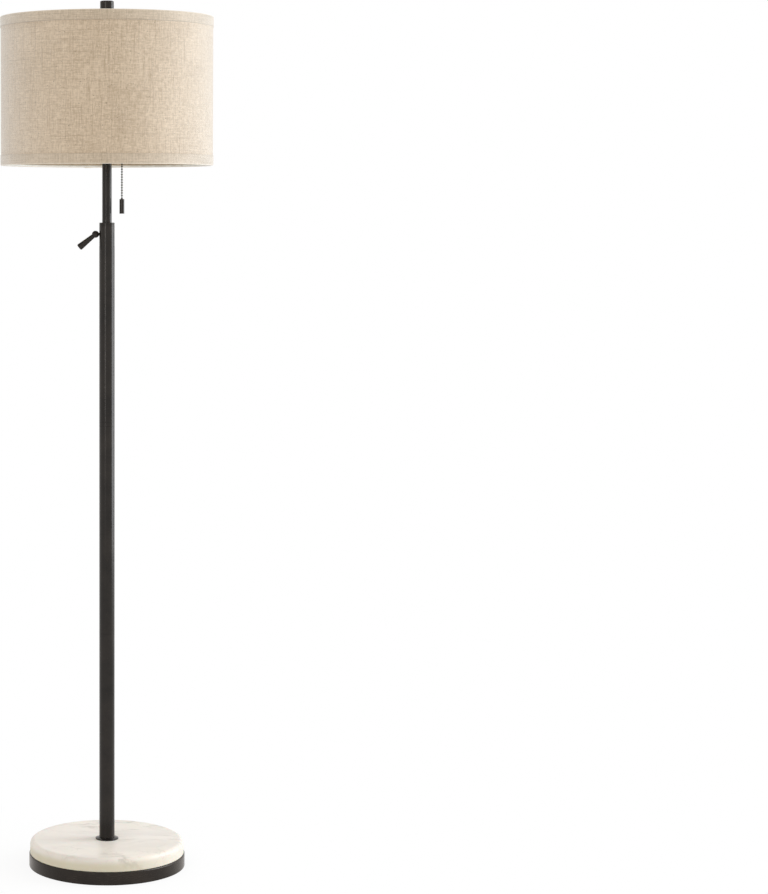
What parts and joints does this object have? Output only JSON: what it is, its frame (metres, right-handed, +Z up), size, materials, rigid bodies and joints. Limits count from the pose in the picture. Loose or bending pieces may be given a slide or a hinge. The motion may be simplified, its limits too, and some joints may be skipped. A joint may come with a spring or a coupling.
{
  "type": "telescopic floor lamp",
  "caption": "Floor lamp with a round stone-topped base, a telescopic pole with a lever clamp, a pull-chain socket and a fabric drum shade on a harp.",
  "frame": {"origin": "on the floor under the pole's axis, at the centre of the lamp's outline", "axes": "+Z up along the pole; the clamp lever points to -X, the pull chain hangs at +X and the lead's inlet faces +Y, the rear"},
  "size_m": [0.3556, 0.3556, 1.4585],
  "materials": {
    "dark_bronze": "dark bronze coating, satin to gloss",
    "white_wire": "white coated wire",
    "antique_brass": "antiqued, dull",
    "brass": "bare, polished",
    "zinc_steel": "zinc plated",
    "bulb_cap_metal": "bare",
    "felt_pad": "pressed felt",
    "cast_iron": "as cast, painted",
    "black_rubber": "matte",
    "marble": "polished off-white with grey-beige veins",
    "black_nylon": "matte",
    "black_moulding": "matte",
    "liner_card": "insulating sleeve",
    "frosted_glass": "frosted",
    "shade_lining": "matte styrene backing",
    "linen": "slub linen weave",
    "linen_trim": "plain weave trim"
  },
  "bodies": {
    "stand": {"base_pad": "felt_pad", "base_pan": "dark_bronze", "base_weight": "cast_iron", "cord_grommet": "black_rubber", "marble_disc": "marble", "foot_flange": "dark_bronze", "mount_stud": "zinc_steel", "base_washer": "zinc_steel", "spring_washer": "zinc_steel", "stud_nut": "zinc_steel", "foot_plug": "zinc_steel", "lower_tube": "dark_bronze", "lower_coupler": "dark_bronze", "middle_tube": "dark_bronze", "upper_coupler": "dark_bronze", "upper_tube": "dark_bronze", "clamp_collar": "dark_bronze", "upper_guide_bush": "black_nylon", "lower_guide_bush": "black_nylon"},
    "slider": {"foot_bush": "black_nylon"},
    "upper": {"inner_tube": "dark_bronze", "neck_fitting": "dark_bronze", "harp_saddle": "dark_bronze", "socket_nipple": "zinc_steel", "saddle_nut": "zinc_steel", "socket_cup": "dark_bronze", "socket_shell": "dark_bronze", "socket_liner": "liner_card", "switch_body": "black_moulding", "terminal_screws": "brass", "screw_shell": "brass", "centre_contact": "brass", "bulb_cap": "bulb_cap_metal", "bulb_contact": "zinc_steel", "bulb_globe": "frosted_glass", "chain_spout": "dark_bronze", "harp": "dark_bronze", "harp_crown": "dark_bronze", "top_ring": "white_wire", "bottom_ring": "white_wire", "spider_hub": "white_wire", "spider_arms": "white_wire", "shade_lining": "shade_lining", "linen_panel": "linen", "lower_trim": "linen_trim", "upper_trim": "linen_trim", "finial": "dark_bronze"},
    "clamp_pad": {"clamp_pad": "black_nylon"},
    "clamp_screw": {"clamp_screw": "dark_bronze", "lever_pin": "zinc_steel"},
    "lever": {"lever_handle": "dark_bronze"},
    "pull_stub": {"chain_stub": "antique_brass"},
    "chain": {"pull_chain": "antique_brass"},
    "pull": {"pull_weight": "dark_bronze", "chain_end_bead": "antique_brass"},
    "front_sleeve": {"front_sleeve": "dark_bronze"},
    "rear_sleeve": {"rear_sleeve": "dark_bronze"}
  },
  "joints": [
    {"name": "height_slide", "type": "slide", "parent": "stand", "child": "slider", "axis": [0, 0, 1], "range_m": [0, 0.25]},
    {"name": "pole_swivel", "type": "hinge", "parent": "slider", "child": "upper", "pos_m": [0, 0, 0.78], "axis": [0, 0, 1], "range_deg": [-170, 170]},
    {"name": "clamp_pad_slide", "type": "slide", "parent": "stand", "child": "clamp_pad", "axis": [-1, 0, 0], "range_m": [0, 0.0016]},
    {"name": "clamp_screw_turn", "type": "hinge", "parent": "clamp_pad", "child": "clamp_screw", "pos_m": [-0.0193, 0, 1.0705], "axis": [-1, 0, 0], "range_deg": [0, 720]},
    {"name": "lever_tilt", "type": "hinge", "parent": "clamp_screw", "child": "lever", "pos_m": [-0.0193, 0, 1.0705], "axis": [0, 1, 0], "range_deg": [-41, 119]},
    {"name": "chain_pull", "type": "slide", "parent": "upper", "child": "pull_stub", "axis": [0, 0, -1], "range_m": [0, 0.008], "stiffness_N_per_m": 300, "springref_m": -0.004},
    {"name": "chain_swing", "type": "hinge", "parent": "pull_stub", "child": "chain", "pos_m": [0.025, 0, 1.2407], "axis": [0, 1, 0], "range_deg": [-35, 5]},
    {"name": "pull_swing", "type": "hinge", "parent": "chain", "child": "pull", "pos_m": [0.025, 0, 1.1307], "axis": [1, 0, 0], "range_deg": [-30, 30]},
    {"name": "front_sleeve_lift", "type": "slide", "parent": "upper", "child": "front_sleeve", "axis": [0, 0, 1], "range_m": [0, 0.0125]},
    {"name": "rear_sleeve_lift", "type": "slide", "parent": "upper", "child": "rear_sleeve", "axis": [0, 0, 1], "range_m": [0, 0.0125]}
  ],
  "couplings": [
    {"joint": "clamp_pad_slide", "follows": "clamp_screw_turn", "m_per_rad": 0.00012732}
  ]
}
